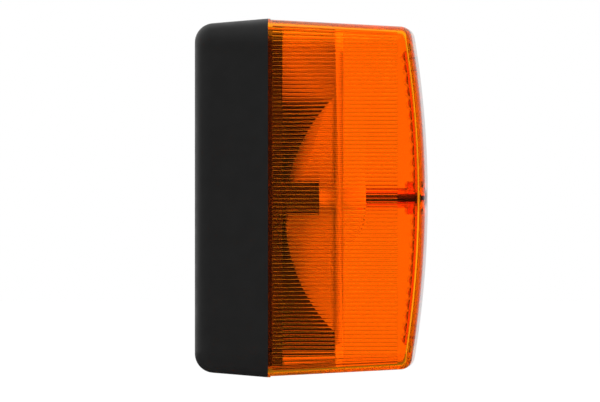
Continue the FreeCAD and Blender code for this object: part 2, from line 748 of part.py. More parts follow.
# Bulb holder: flanged shell with two bayonet slots
shell_front = "(" + seat_back + ")"
bore_half = "dims.shell_bore / 2"
outer_half = "(dims.shell_bore / 2 + dims.shell_wall)"
socket_shell = body("socket_shell")
profile = sketch(socket_shell, "holder_outline", "XZ_Plane", "0", "0", bulb_axis)
outline(profile, [
    ("dims.shell_back", bore_half),
    (shell_front, bore_half),
    (shell_front, "dims.shell_flange / 2"),
    (shell_front + " - dims.shell_flange_thickness", "dims.shell_flange / 2"),
    (shell_front + " - dims.shell_flange_thickness", outer_half),
    ("dims.shell_back", outer_half),
])
turned(socket_shell, "holder_shell", profile)
entry_slot = sketch(socket_shell, "slot_outline", "YZ_Plane", shell_front, "0", bulb_axis)
rounded(entry_slot, "dims.pin_span + dims.cut_over", "dims.slot_width", "dims.slot_corner")
slot_end = "(dims.pin_station - dims.slot_width / 2)"
pocket(socket_shell, "bayonet_slots", entry_slot, shell_front + " - " + slot_end)
rivet_cut = sketch(socket_shell, "holder_rivet_outline", "YZ_Plane", shell_front, "0", bulb_axis)
circle_pair(rivet_cut, "dims.rivet_diameter", "dims.rivet_spread")
pocket(socket_shell, "holder_rivet_holes", rivet_cut, "dims.shell_flange_thickness + dims.cut_over")

# Insulating disc in the back of the shell
socket_base = body("socket_base")
profile = sketch(socket_base, "base_outline", "XZ_Plane", "0", "0", bulb_axis)
outline(profile, [
    ("dims.shell_back", "0"),
    ("dims.shell_back + dims.base_thickness", "0"),
    ("dims.shell_back + dims.base_thickness", bore_half),
    ("dims.shell_back", bore_half),
])
turned(socket_base, "base_disc", profile)

# Contact spring: strip on the disc, bent up under the bulb, with a tab through a window of the shell
floor_x = "(dims.shell_back + dims.base_thickness)"
strip_middle = floor_x + " + dims.strip_thickness / 2"
window = sketch(socket_shell, "window_outline", "XY_Plane", bulb_axis + " + dims.window_start", strip_middle)
rounded(window, "3 * dims.strip_thickness", "dims.tab_width + 2 * dims.window_play", "dims.slot_corner")
pocket(socket_shell, "window", window, "dims.window_depth", forward=True)
live_contact = body("live_contact")
strip = sketch(live_contact, "contact_outline", "XZ_Plane", "0", "0", bulb_axis)
touch = "(dims.pin_station - dims.contact_behind_pins)"
tab_end = "dims.shell_bore / 2 + dims.shell_wall + dims.tab_length"
outline(strip, [
    (floor_x, tab_end),
    (floor_x, "-dims.spring_foot"),
    (touch, "-dims.spring_tip"),
    (touch, "dims.spring_tip"),
    (touch + " - dims.strip_thickness", "dims.spring_tip"),
    (touch + " - dims.strip_thickness", "-dims.spring_tip_inside"),
    (floor_x + " + dims.strip_thickness", "-dims.spring_foot_inside"),
    (floor_x + " + dims.strip_thickness", tab_end),
])
pad(live_contact, "contact_strip", strip, "dims.tab_width", midplane=True)

# Earth tab on the back of the shell flange
earth_terminal = body("earth_terminal")
tab = sketch(earth_terminal, "earth_outline", "XZ_Plane", "0", "0", bulb_axis)
flange_x = shell_front + " - dims.shell_flange_thickness"
fold = "-(dims.shell_flange / 2 - dims.earth_fold_inset)"
outline(tab, [
    (flange_x, "-(%s + dims.earth_gap)" % outer_half),
    (flange_x + " - dims.strip_thickness", "-(%s + dims.earth_gap)" % outer_half),
    (flange_x + " - dims.strip_thickness", fold),
    (flange_x + " - dims.tab_length", fold),
    (flange_x + " - dims.tab_length", fold + " - dims.strip_thickness"),
    (flange_x, fold + " - dims.strip_thickness"),
])
pad(earth_terminal, "earth_tab", tab, "dims.tab_width", midplane=True)

# Rivets through the holder flange and the reflector
rivets = []
head_height = number("dims.rivet_head_height")
head_radius = number("dims.rivet_head / 2")
axis_z = number("dims.axis_height")
rivet_back = number(flange_x)
rivet_front = number("dims.trough_vertex + dims.reflector_wall + dims.rivet_stand")
for side in (-1, 1):
    y = side * number("dims.rivet_spread / 2")
    length = rivet_front - rivet_back
    pin = Part.makeCylinder(number("dims.rivet_diameter / 2"), length, station(rivet_back, y, axis_z), ahead)
    tail = Part.makeCylinder(head_radius, head_height, station(rivet_back - head_height, y, axis_z), ahead)
    head = Part.makeCylinder(head_radius, head_height, station(rivet_front, y, axis_z), ahead)
    rivets.append(pin.fuse([tail, head]).removeSplitter())
socket_rivets = fused("socket_rivets", rivets)

# Bulb cap with holes for its pins
bulb_cap = body("bulb_cap")
profile = sketch(bulb_cap, "cap_outline", "XZ_Plane", "0", "0", bulb_axis)
cap_back = "(dims.pin_station - dims.cap_behind_pins)"
cap_front = "(dims.pin_station + dims.cap_ahead_of_pins)"
cap_half = "dims.cap_diameter / 2"
outline(profile, [
    (cap_back, "dims.cap_end_hole / 2"),
    (cap_back, cap_half),
    (cap_front, cap_half),
    (cap_front, cap_half + " - dims.cap_wall"),
    (cap_back + " + dims.cap_wall", cap_half + " - dims.cap_wall"),
    (cap_back + " + dims.cap_wall", "dims.cap_end_hole / 2"),
])
turned(bulb_cap, "cap_shell", profile)
pin_cut = sketch(bulb_cap, "pin_hole_outline", "XZ_Plane", "0", "dims.pin_station", bulb_axis)
circle(pin_cut, "dims.pin_diameter")
pocket(bulb_cap, "pin_holes", pin_cut, "dims.cap_diameter + 2 * dims.cut_over", midplane=True)

pins = []
for side in (-1, 1):
    root = station(number("dims.pin_station"), side * number(cap_half + " - dims.pin_root"), axis_z)
    length = number("dims.pin_span / 2 - (%s - dims.pin_root)" % cap_half)
    pins.append(Part.makeCylinder(number("dims.pin_diameter / 2"), length, root, FreeCAD.Vector(0, side, 0)))
bulb_pins = fused("bulb_pins", pins)

# Insulator in the end of the cap, and the solder contact on it
bulb_insulator = body("bulb_insulator")
profile = sketch(bulb_insulator, "insulator_outline", "XZ_Plane", "0", "0", bulb_axis)
outline(profile, [
    (cap_back + " - dims.insulator_stand", "0"),
    (cap_back + " + dims.cap_wall + dims.insulator_depth", "0"),
    (cap_back + " + dims.cap_wall + dims.insulator_depth", cap_half + " - dims.cap_wall"),
    (cap_back + " + dims.cap_wall", cap_half + " - dims.cap_wall"),
    (cap_back + " + dims.cap_wall", "dims.cap_end_hole / 2"),
    (cap_back, "dims.cap_end_hole / 2"),
    (cap_back + " - dims.insulator_stand", "dims.insulator_nose / 2"),
])
turned(bulb_insulator, "insulator_disc", profile)
bulb_contact = body("bulb_contact")
profile = sketch(bulb_contact, "solder_outline", "XZ_Plane", "0", "0", bulb_axis)
outline(profile, [
    (touch, "0"),
    (cap_back + " - dims.insulator_stand", "0"),
    (cap_back + " - dims.insulator_stand", "dims.contact_diameter / 2"),
    (touch, "dims.contact_diameter / 2 - dims.contact_taper"),
])
turned(bulb_contact, "solder_dot", profile)

# Glass envelope: ball on a neck that is cemented into the cap, thin walled
bulb_glass = body("bulb_glass")
profile = sketch(bulb_glass, "glass_outline", "XZ_Plane", "0", "0", bulb_axis)
tip = "(dims.pin_station + dims.glass_reach)"
ball = "(dims.glass_diameter / 2)"
inner_ball = "(dims.glass_diameter / 2 - dims.glass_wall)"
middle = "(%s - %s)" % (tip, ball)
shoulder_along = " * cos(dims.shoulder_turn * 1 deg)"
shoulder_across = " * sin(dims.shoulder_turn * 1 deg)"
neck_end = "(%s - dims.glass_in_cap)" % cap_front
shoulder = "(%s + dims.shoulder_rise)" % cap_front
outline(profile, [
    (tip, "0"),
    (middle + " + " + ball + shoulder_along, ball + shoulder_across, ball),
    (shoulder, "dims.glass_neck / 2"),
    (neck_end, "dims.glass_neck / 2"),
    (neck_end, "dims.glass_neck / 2 - dims.glass_wall"),
    (shoulder + " + dims.shoulder_wall", "dims.glass_neck / 2 - dims.glass_wall"),
    (middle + " + " + inner_ball + shoulder_along, inner_ball + shoulder_across),
    (tip + " - dims.glass_wall", "0", "-" + inner_ball),
])
turned(bulb_glass, "glass_envelope", profile)

# Stem in the neck, lead wires and filament
bulb_stem = body("bulb_stem")
profile = sketch(bulb_stem, "stem_outline", "XZ_Plane", "0", "0", bulb_axis)
stem_top = "(%s + dims.stem_height)" % neck_end
outline(profile, [
    (neck_end, "0"),
    (stem_top, "0"),
    (stem_top, "dims.stem_diameter / 2"),
    (neck_end + " + dims.stem_flare_height", "dims.stem_diameter / 2"),
    (neck_end + " + dims.stem_rim_height", "dims.glass_neck / 2 - dims.glass_wall"),
    (neck_end, "dims.glass_neck / 2 - dims.glass_wall"),
])
turned(bulb_stem, "stem_flare", profile)
wire_radius = number("dims.wire_diameter / 2")
coil_radius = number("dims.coil_diameter / 2")
coil_x = number("dims.pin_station + dims.filament_reach")
leads = []
for side in (-1, 1):
    foot = station(number(stem_top), side * (number("dims.filament_length / 2") - wire_radius), axis_z)
    leads.append(Part.makeCylinder(wire_radius, coil_x - coil_radius - number(stem_top), foot, ahead))
bulb_leads = fused("bulb_leads", leads)
coil = doc.addObject("Part::Cylinder", "bulb_filament")
coil.Label = "bulb_filament"
coil.setExpression("Radius", "dims.coil_diameter / 2")
coil.setExpression("Height", "dims.filament_length")
coil.Placement.Rotation = FreeCAD.Rotation(FreeCAD.Vector(1, 0, 0), -90)
coil.setExpression("Placement.Base.x", "dims.pin_station + dims.filament_reach")
coil.setExpression("Placement.Base.y", "-dims.filament_length / 2")
coil.setExpression("Placement.Base.z", bulb_axis)

doc.recompute()

nodes = [housing, lens_gasket, lens, lens_screws, screw_seals, mounting_sleeves, reflector, cable_grommet,
         socket_shell, socket_rivets, socket_base, live_contact, earth_terminal, bulb_glass, bulb_cap,
         bulb_pins, bulb_insulator, bulb_contact, bulb_stem, bulb_leads, coil]

for item in doc.Objects:
    if "Invalid" in item.State or "Error" in item.State:
        raise RuntimeError("%s is in state %s" % (item.Name, item.State))
os.makedirs("parts", exist_ok=True)
for node in nodes:
    if node.Shape.isNull() or not node.Shape.isValid():
        raise RuntimeError("bad shape in " + node.Label)
    node.Shape.exportStep("parts/%s.step" % node.Label)
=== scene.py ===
import json
import math

import bmesh
import bpy
import numpy as np
from bpy.props import FloatProperty, FloatVectorProperty, IntProperty, PointerProperty
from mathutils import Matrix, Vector
from mathutils.geometry import delaunay_2d_cdt


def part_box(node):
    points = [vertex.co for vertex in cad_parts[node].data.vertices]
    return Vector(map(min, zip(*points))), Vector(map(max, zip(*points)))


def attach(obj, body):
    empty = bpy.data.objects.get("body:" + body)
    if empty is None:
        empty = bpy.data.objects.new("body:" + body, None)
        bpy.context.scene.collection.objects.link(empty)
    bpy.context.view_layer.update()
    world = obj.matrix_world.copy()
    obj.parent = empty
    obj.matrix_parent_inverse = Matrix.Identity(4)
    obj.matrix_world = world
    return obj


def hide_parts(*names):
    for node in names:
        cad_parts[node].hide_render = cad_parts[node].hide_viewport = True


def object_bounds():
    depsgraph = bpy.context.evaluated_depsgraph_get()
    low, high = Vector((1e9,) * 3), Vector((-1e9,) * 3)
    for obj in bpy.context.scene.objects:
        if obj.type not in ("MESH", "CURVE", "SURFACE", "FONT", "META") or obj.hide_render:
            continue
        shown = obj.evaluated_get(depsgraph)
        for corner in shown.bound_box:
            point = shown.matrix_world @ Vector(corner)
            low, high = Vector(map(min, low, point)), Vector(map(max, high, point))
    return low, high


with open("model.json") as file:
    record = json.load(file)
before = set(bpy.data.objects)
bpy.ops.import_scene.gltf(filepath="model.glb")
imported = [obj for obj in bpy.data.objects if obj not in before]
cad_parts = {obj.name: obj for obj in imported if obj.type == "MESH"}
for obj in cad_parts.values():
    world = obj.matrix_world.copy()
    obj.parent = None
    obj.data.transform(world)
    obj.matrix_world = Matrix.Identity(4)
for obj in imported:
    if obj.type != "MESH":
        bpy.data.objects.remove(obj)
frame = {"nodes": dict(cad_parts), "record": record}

bl_info = {
    "name": "Indicator lamp",
    "version": (1, 0, 0),
    "blender": (4, 5, 0),
    "location": "View3D > Sidebar > Lamp",
    "description": "Amber lens, finishes, filament, light and camera for a vehicle indicator lamp",
    "category": "Object",
}

CAD_BOX = [list(corner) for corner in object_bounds()]
NODES = frame["nodes"]
LENS_LOW, LENS_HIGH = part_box("lens")
SCREW_LOW, SCREW_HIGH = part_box("lens_screws")
SEAL_LOW, SEAL_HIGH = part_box("screw_seals")
COIL_LOW, COIL_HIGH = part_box("bulb_filament")
MM = 0.001

# Reflector: axis (x, z) and radius of its trough, back of its flange, top of the painted shade on its back and
# the fades round it.
TROUGH_AXIS = (93.3 * MM, -6.0 * MM)
TROUGH_RADIUS = 60.4 * MM
FLANGE_BACK = 50.9 * MM
PAINTED_SHADE_TOP = 36.0 * MM
PAINTED_SHADE_FADE = 2.0 * MM
PAINTED_SHADE_EDGE = 0.3 * MM

# Lens walls: mean lean of the inner corners, and points on a flute, a corner's plain rest and a short side.
MEAN_LEAN = 0.85 * MM
FLUTE_POINTS = 9
BEND_POINTS = 9
FLAT_POINTS = 25

# Rings on the front edge, steps to where wall and front meet, and the step that gives the front's slope.
EDGE_RINGS = 9
MEETING_STEPS = 12
SLOPE_STEP = 0.01 * MM

# Stations along the outer wall and along the flutes, the gap just past an end, and the last flute's slack.
OUTER_STATIONS = 8
INNER_STATIONS = 7
PAST = 0.02 * MM
END_SLACK = 1e-6

# Lens front: lines across the inner grid, steps in a row, and where the plain lines past the rows lie.
LINES_ACROSS = 35
ROW_STEPS = 12
PAST_ROWS = (0.6 * MM, 3.6 * MM)
PAST_LINES = 6

# Reach and lines of the outer grid, what a grid keeps clear of its edges, and the share of the edge radius
# that rounds its corners.
PLAIN_GRID = ((40.0 * MM, 33), (55.0 * MM, 45))
GRID_MARGIN = 0.3 * MM
CORNER_SHARE = 0.6

# Filling of a front: its scale and slack, the kind that stays inside the loop, and the share of a hole's
# radius that stays open.
FILL_SCALE = 1000.0
FILL_SLACK = 1e-4
FILL_INSIDE = 1
HOLE_SHARE = 0.998

# Screw pillars: points round them and the round on their edges.
ROUND_POINTS = 64
PILLAR_ROUND = 0.3 * MM

# Filament: turns, radius of the coil, radius of the wire, sides of the wire and steps to a turn.
COIL_TURNS = 14
COIL_RADIUS = 0.36 * MM
WIRE_RADIUS = 0.08 * MM
WIRE_SIDES = 8
TURN_STEPS = 20

# Points nearer than this are one point, edges bent more than this are sharp, and large faces weigh most in the
# smooth shading.
LENS_MERGE = 0.002 * MM
FINE_MERGE = 0.001 * MM
LENS_SHARP = math.radians(40)
COIL_SHARP = math.radians(60)
DRAWN_SHARP = math.radians(30)
LARGE_FACES = 100

# Finishes: where a noise mostly lies, how far roughness drifts, depth of the grain and refractive indices.
NOISE_SPAN = (0.3, 0.7)
ROUGH_CHANGE = 0.15
GRAIN_DEPTH = 0.2 * MM
LENS_INDEX = 1.49
GLASS_INDEX = 1.5
WHITE = (1.0, 1.0, 1.0)

# Room: direction and spread of the light above, tone of light scattered inside the lamp, levels seen behind
# the lamp and above it, where the sky and the floor turn from near to far, and the number of lens faces that
# blur the view.
TOP_LIGHT = (0.0, -0.25, 0.97)
TOP_SPAN = (0.5, 0.95)
INSIDE_TONE = (1.0, 0.75, 0.6)
FAR_VIEW = 1.18
FAR_LIGHT = 1.0
FAR_GLOSS = 0.75
TOP_VIEW = 0.9
SKY_PASS = (0.0, 0.6)
FLOOR_PASS = (-0.05, 0.1)
MANY_FACES = (4.0, 6.0)

# Floor: half its side, its tone and what lifts it to white.
FLOOR_REACH = 6.0
FLOOR_TONE = (0.85, 0.85, 0.85)
FLOOR_LIFT = 0.75

# Square lamps: name, place, power in watts and side.
LIGHTS = (
    ("key_top", (-0.1, -0.3, 0.9), 3.5, 0.7),
    ("fill_back", (-0.8, 0.1, 0.3), 1.7, 0.6),
)

# Camera: sensor and far limit. Light: how often it may turn in all, in gloss and through the lens.
SENSOR_WIDTH = 36.0
CLIP_END = 50.0
ALL_BOUNCES = 128
GLOSS_BOUNCES = 96
LENS_BOUNCES = 48


def length_property(label, tip, millimetres):
    """Size, given in millimetres."""
    return FloatProperty(name=label, description=tip, default=millimetres * MM, unit="LENGTH", precision=5)


def colour_property(label, tip, default):
    """Colour of a finish."""
    return FloatVectorProperty(name=label, description=tip, default=default, subtype="COLOR", size=3,
                               min=0, max=1)


class LensSizes(bpy.types.PropertyGroup):
    """Sizes of the amber lens, as the lamp was drawn."""
    draft: FloatProperty(name="Draft", description="Lean of the side walls", default=math.radians(3),
                         subtype="ANGLE")
    step: length_property("Step", "How far the walls stand in from the flange edge", 0.35)
    flange: length_property("Flange", "Thickness of the flange at the seam", 0.9)
    corner: length_property("Corner radius", "Outer corner radius of the flange", 9.8)
    wall: length_property("Wall", "Wall thickness", 2.6)
    edge: length_property("Front edge", "Outer radius of the front edge", 4.4)
    bow_up: length_property("Bow upright", "Radius of the front seen from the side", 360)
    bow_across: length_property("Bow across", "Radius of the front seen from above", 640)
    flute_pitch: length_property("Flute pitch", "Spacing of the fine flutes on the inner walls", 1.46)
    flute_width: length_property("Flute width", "Width of one flute at its foot", 0.73)
    flute_rise: length_property("Flute rise", "Height of one flute", 0.25)
    flute_base: length_property("Flute base", "Height of the lands between the flutes", 0.06)
    flute_first: length_property("Flute start", "Distance of the flutes from the seam", 1.6)
    flute_last: length_property("Flute stop", "Distance of the flutes' ends from the crown of the front", 11.5)
    flutes: IntProperty(name="Flutes", description="Flutes above and below the middle one", default=42)
    row_pitch: length_property("Row pitch", "Spacing of the optic rows inside the front", 4.28)
    row_rise: length_property("Row rise", "Height of one optic row", 1.9)
    row_base: length_property("Row base", "Height of the hollows between the rows", 0.15)
    rows: IntProperty(name="Rows", description="Number of optic rows", default=25)
    row_reach: length_property("Row reach", "How far the optic rows run either side of the middle", 41.6)
    pillar: length_property("Pillar", "Diameter of the screw pillars", 7.3)
    pillar_end: length_property("Pillar end", "Depth of the pillars' back ends in the lamp", 61.9)
    root: length_property("Pillar root", "Diameter of the pillars' roots", 12)
    root_cover: length_property("Root cover", "Thickness of the front over the pillars' roots", 1.4)
    root_length: length_property("Root length", "Length of the pillars' roots", 5.7)
    sink: length_property("Sink", "Diameter of the seats for the screw heads", 6.2)
    bore: length_property("Bore", "Diameter of the screw bores", 3.5)


class FinishColours(bpy.types.PropertyGroup):
    """Colours of the lamp's finishes."""
    amber: colour_property("Amber", "Colour that a thin wall of lens passes", (1.0, 0.34, 0.02))
    amber_body: colour_property("Amber body", "Colour left after one absorption length", (1.0, 0.99, 0.5))
    amber_density: FloatProperty(name="Amber density", description="Absorption per metre of lens", default=400)
    amber_clear: FloatProperty(name="Amber clear", description="Share of light that the lens doesn't scatter",
                               default=0.995)
    black: colour_property("Black moulding", "Colour of the housing", (0.03, 0.03, 0.03))
    pale: colour_property("Pale moulding", "Colour of the reflector", (0.88, 0.87, 0.84))
    # Painted shade: the dark colour put on the reflector's back, behind the trough, where it lies in shade.
    painted_shade: colour_property("Bare moulding", "Colour of the reflector's back", (0.05, 0.046, 0.042))


class StageSettings(bpy.types.PropertyGroup):
    """Camera and light."""
    distance: length_property("Camera distance", "From the lamp's middle plane to the camera", 4500)
    view_width: length_property("View width", "Width of the picture at the lamp's middle plane", 219.3)
    aim_out: length_property("Aim out", "Where the picture's middle lies along the lamp's depth", 38.1)
    aim_up: length_property("Aim up", "Where the picture's middle lies in height", -1.1)
    fill: FloatProperty(name="Fill", description="Level of the plain light from all round", default=0.3)
    near_gloss: FloatProperty(name="Near gloss", description="Level that gloss shows on the camera's side",
                              default=0.02)
    near_view: FloatProperty(name="Near view", description="Level that the flutes turn back to the camera",
                             default=0.1)
    near_light: FloatProperty(name="Near light", description="Light into the lens from the camera's side",
                              default=2.8)
    top_light: FloatProperty(name="Top light", description="What the light into the lens from above adds",
                             default=3.0)
    floor_drop: length_property("Floor drop", "How far the floor lies under the lamp", 22)


def put_mesh(name, points, quads, triangles, node):
    """Make one mesh object from whole arrays of points, quads and triangles, riding on the lamp for a node."""
    mesh = bpy.data.meshes.new(name)
    sizes = np.concatenate([np.full(len(quads), 4), np.full(len(triangles), 3)]).astype(np.int32)
    corners = np.concatenate([quads.ravel(), triangles.ravel()]).astype(np.int32)
    mesh.vertices.add(len(points))
    mesh.vertices.foreach_set("co", np.asarray(points, np.float32).ravel())
    mesh.loops.add(len(corners))
    mesh.loops.foreach_set("vertex_index", corners)
    mesh.polygons.add(len(sizes))
    mesh.polygons.foreach_set("loop_start", np.concatenate([[0], np.cumsum(sizes)[:-1]]).astype(np.int32))
    mesh.update(calc_edges=True)
    mesh.validate()
    return carry(bpy.data.objects.new(name, mesh), node)


def carry(piece, node):
    """Link a piece and let it stand for its CAD node."""
    bpy.context.scene.collection.objects.link(piece)
    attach(piece, "root")
    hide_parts(node)
    return piece


def tidy_mesh(mesh, merge):
    """Merge points that fall together, drop faces without area and turn all faces outwards."""
    work = bmesh.new()
    work.from_mesh(mesh)
    bmesh.ops.remove_doubles(work, verts=work.verts, dist=merge)
    bmesh.ops.dissolve_degenerate(work, edges=work.edges, dist=merge / 10)
    bmesh.ops.recalc_face_normals(work, faces=work.faces)
    work.to_mesh(mesh)
    work.free()


def grid_quads(rings, count, start=0):
    """Quads of a grid of rings that close on themselves, numbered ring after ring from a start."""
    ring = np.arange(rings - 1)[:, None] * count
    here = np.arange(count)[None, :]
    after = (here + 1) % count
    quads = np.stack([ring + here, ring + after, ring + count + after, ring + count + here], axis=-1)
    return quads.reshape(-1, 4) + start


def columns(*values):
    """Values side by side as the columns of one table; a single number fills its column."""
    return np.column_stack(np.broadcast_arrays(*values))


def perimeter(sizes):
    """Outline of the lens as a rectangle of corner centres carried outwards along unit normals.

    Each side runs from its middle along the flat and round the corners, with several points on the round of
    each flute; the rest of the corners and the top and bottom flats are plain. Returns rows of core y, core z,
    normal y, normal z and the arc length from the middle of a side, or a number past the last flute where
    plain.
    """
    cy = LENS_HIGH.y - sizes.corner
    cz = LENS_HIGH.z - sizes.corner
    turn_radius = sizes.corner - sizes.step - sizes.wall - MEAN_LEAN
    plain = (2 * sizes.flutes + 1) * sizes.flute_pitch
    middles = np.arange(-sizes.flutes, sizes.flutes + 1) * sizes.flute_pitch
    across_flute = -sizes.flute_width / 2 * np.cos(np.linspace(0, math.pi, FLUTE_POINTS))
    s = (middles[:, None] + across_flute[None, :]).ravel()
    turn = np.maximum(np.abs(s) - cz, 0) / turn_radius
    side = columns(cy, np.clip(s, -cz, cz), np.cos(turn), np.sign(s) * np.sin(turn), s)
    rest = np.linspace(turn[-1], math.pi / 2, BEND_POINTS)[1:-1]
    bend = columns(cy, cz, np.cos(rest), np.sin(rest), plain)
    flat = columns(np.linspace(cy, -cy, FLAT_POINTS), cz, 0.0, 1.0, plain)
    mirror_y = np.array([-1, 1, -1, 1, 1])
    mirror_z = np.array([1, -1, 1, -1, 1])
    top = np.concatenate([bend, flat, (bend * mirror_y)[::-1]])
    other_side = (side * mirror_y)[::-1]
    bottom = (top * mirror_z)[::-1]
    return np.concatenate([side, top, other_side, bottom])


def front(sizes, y, z, depth):
    """Front surface at a depth behind the outer face: an arc in height, swung about an upright axis."""
    section = sizes.bow_across - sizes.bow_up + np.sqrt((sizes.bow_up - depth) ** 2 - z ** 2)
    return LENS_HIGH.x - sizes.bow_across + np.sqrt(section ** 2 - y ** 2)


def wave(place, pitch, width, rise, base, count):
    """Row of equal ribs about zero.

    A rib is a base height plus half an ellipse of a width on each pitch; there are none past the last.
    """
    share = (np.mod(place / pitch + 0.5, 1.0) - 0.5) * pitch
    height = base + rise * np.sqrt(np.maximum(1 - (2 * share / width) ** 2, 0))
    return np.where(np.abs(place) <= (count / 2 + END_SLACK) * pitch, height, 0.0)


def edge_centre(sizes, outline):
    """Centre line of the rounded front edge: where walls and front, both set in by the edge radius, meet."""
    core = outline[:, 0:2]
    normal = outline[:, 2:4]
    lean = math.tan(sizes.draft)
    radius = sizes.corner - sizes.step - sizes.edge
    x = np.full(len(outline), LENS_HIGH.x - sizes.edge)
    for _ in range(MEETING_STEPS):
        point = core + normal * (radius - lean * (x - LENS_LOW.x))[:, None]
        x = front(sizes, point[:, 0], point[:, 1], sizes.edge)
    return x, radius - lean * (x - LENS_LOW.x)


def wall_rings(sizes, outline, depth, stations, ribs):
    """Rings of the wall and rounded front edge at one depth.

    On the wall a ring lies at a station along X, the outline carried out by the corner radius less the depth,
    less the lean, less the flutes. On the edge it turns about the centre line from the wall to the front.
    """
    core = outline[:, 0:2]
    normal = outline[:, 2:4]
    lean = math.tan(sizes.draft)
    x_mid, r_mid = edge_centre(sizes, outline)
    ring_radius = sizes.edge - depth
    flute = wave(outline[:, 4], sizes.flute_pitch, sizes.flute_width, sizes.flute_rise, sizes.flute_base,
                 2 * sizes.flutes + 1)
    wall_end = x_mid + ring_radius * math.sin(sizes.draft)
    first = LENS_LOW.x + sizes.flute_first
    last = LENS_HIGH.x - sizes.flute_last
    rings = []
    for station in stations:
        x = np.minimum(np.full(len(outline), station), wall_end)
        r = sizes.corner - sizes.step - depth - lean * (x - LENS_LOW.x)
        if ribs and first < station < last:
            r = r - flute
        rings.append(np.column_stack([x, core + normal * r[:, None]]))
    tip = core + normal * r_mid[:, None]
    ahead = tip + normal * SLOPE_STEP
    rise = front(sizes, ahead[:, 0], ahead[:, 1], depth) - front(sizes, tip[:, 0], tip[:, 1], depth)
    last_angle = np.arctan2(1.0, -rise / SLOPE_STEP)
    for share in np.linspace(0, 1, EDGE_RINGS):
        angle = sizes.draft + share * (last_angle - sizes.draft)
        x = x_mid + ring_radius * np.sin(angle)
        point = core + normal * (r_mid + ring_radius * np.cos(angle))[:, None]
        if share == 1:
            x = front(sizes, point[:, 0], point[:, 1], depth)
        rings.append(np.column_stack([x, point]))
    return rings


def rows_at(sizes, y, z):
    """Height of the optic rows inside the front.

    On each pitch it is a base and an arc of a circle, and a row is square at its ends.
    """
    inside = sizes.bow_up - sizes.wall
    along = inside * np.arcsin(z / inside)
    radius = sizes.row_pitch ** 2 / (8 * sizes.row_rise) + sizes.row_rise / 2
    share = (np.mod(along / sizes.row_pitch + 0.5, 1.0) - 0.5) * sizes.row_pitch
    height = sizes.row_base + sizes.row_rise - radius + np.sqrt(radius ** 2 - share ** 2)
    there = (np.abs(along) <= sizes.rows / 2 * sizes.row_pitch) & (np.abs(y) <= sizes.row_reach)
    return np.where(there, height, 0.0)


def row_lines(sizes):
    """Grid lines of the inner front, across and in height.

    Across there is one just past each end of the rows; in height there are several to a row.
    """
    across = np.linspace(-sizes.row_reach, sizes.row_reach, LINES_ACROSS)
    across = np.concatenate([[across[0] - PAST], across, [across[-1] + PAST]])
    middles = (np.arange(sizes.rows) - (sizes.rows - 1) / 2) * sizes.row_pitch
    turn = -sizes.row_pitch / 2 * np.cos(np.linspace(0, math.pi, ROW_STEPS + 1))
    along = (middles[:, None] + turn[None, :-1]).ravel()
    end = sizes.rows / 2 * sizes.row_pitch
    outer = np.linspace(end + PAST_ROWS[0], end + PAST_ROWS[1], PAST_LINES)
    along = np.concatenate([-outer[::-1], [-end - PAST], along, [end, end + PAST], outer])
    inside = sizes.bow_up - sizes.wall
    return across, inside * np.sin(along / inside)


def circle(radius):
    """Points of a circle about the origin in equal steps."""
    angle = np.arange(ROUND_POINTS) * (2 * math.pi / ROUND_POINTS)
    return radius * np.cos(angle), radius * np.sin(angle)


def screw_places():
    """Places across the lamp of the two screws, whose heads are as wide as their seals."""
    half = (SCREW_HIGH.y - SCREW_LOW.y) / 2 - (SEAL_HIGH.z - SEAL_LOW.z) / 2
    return (-half, half)


def front_patch(sizes, loop, hole, lines):
    """Triangles over the front inside a loop, with a hole at each screw, on a grid of lines in y and z."""
    gy, gz = np.meshgrid(lines[0], lines[1], indexing="ij")
    inner = np.column_stack([gy.ravel(), gz.ravel()])
    reach = loop.max(axis=0) - GRID_MARGIN
    rounding = sizes.edge * CORNER_SHARE
    past = np.maximum(np.abs(inner) - (reach - rounding), 0)
    keep = (np.abs(inner) < reach).all(axis=1) & (np.hypot(past[:, 0], past[:, 1]) < rounding)
    hy, hz = circle(hole)
    holes = []
    for place in screw_places():
        holes.append(np.column_stack([hy + place, hz]))
        keep &= np.hypot(inner[:, 0] - place, inner[:, 1]) > hole + GRID_MARGIN
    points = np.concatenate([loop] + holes + [inner[keep]]) * FILL_SCALE
    edges = []
    start = 0
    for ring in [loop] + holes:
        count = len(ring)
        here = np.arange(count)
        edges.append(np.column_stack([here, (here + 1) % count]) + start)
        start += count
    edges = np.concatenate(edges).tolist()
    made = delaunay_2d_cdt([Vector(p) for p in points], edges, [], FILL_INSIDE, FILL_SLACK)
    flat = np.array([tuple(p) for p in made[0]]) / FILL_SCALE
    faces = np.array([face for face in made[2] if len(face) == 3])
    middle = flat[faces].mean(axis=1)
    keep = np.ones(len(faces), bool)
    for place in screw_places():
        keep &= np.hypot(middle[:, 0] - place, middle[:, 1]) > hole * HOLE_SHARE
    return flat, faces[keep]


def pillar_rings(sizes, place):
    """One screw pillar: rings from the inside of the front, round root, end and bore, to the sink outside."""
    seat = SEAL_LOW.x
    root = sizes.root / 2
    pillar = sizes.pillar / 2
    root_end = LENS_HIGH.x - place ** 2 / (2 * sizes.bow_across) - sizes.root_cover - sizes.root_length
    y, z = circle(root)
    inner_front = front(sizes, y + place, z, sizes.wall) - rows_at(sizes, y + place, z)
    y, z = circle(sizes.sink / 2)
    outer_front = front(sizes, y + place, z, 0.0)
    profile = (
        (root, inner_front),
        (root, root_end + PILLAR_ROUND),
        (root - PILLAR_ROUND, root_end),
        (pillar, root_end),
        (pillar, sizes.pillar_end + PILLAR_ROUND),
        (pillar - PILLAR_ROUND, sizes.pillar_end),
        (sizes.bore / 2, sizes.pillar_end),
        (sizes.bore / 2, seat),
        (sizes.sink / 2, seat),
        (sizes.sink / 2, outer_front),
    )
    rings = []
    for radius, x in profile:
        y, z = circle(radius)
        rings.append(columns(x, y + place, z))
    return rings


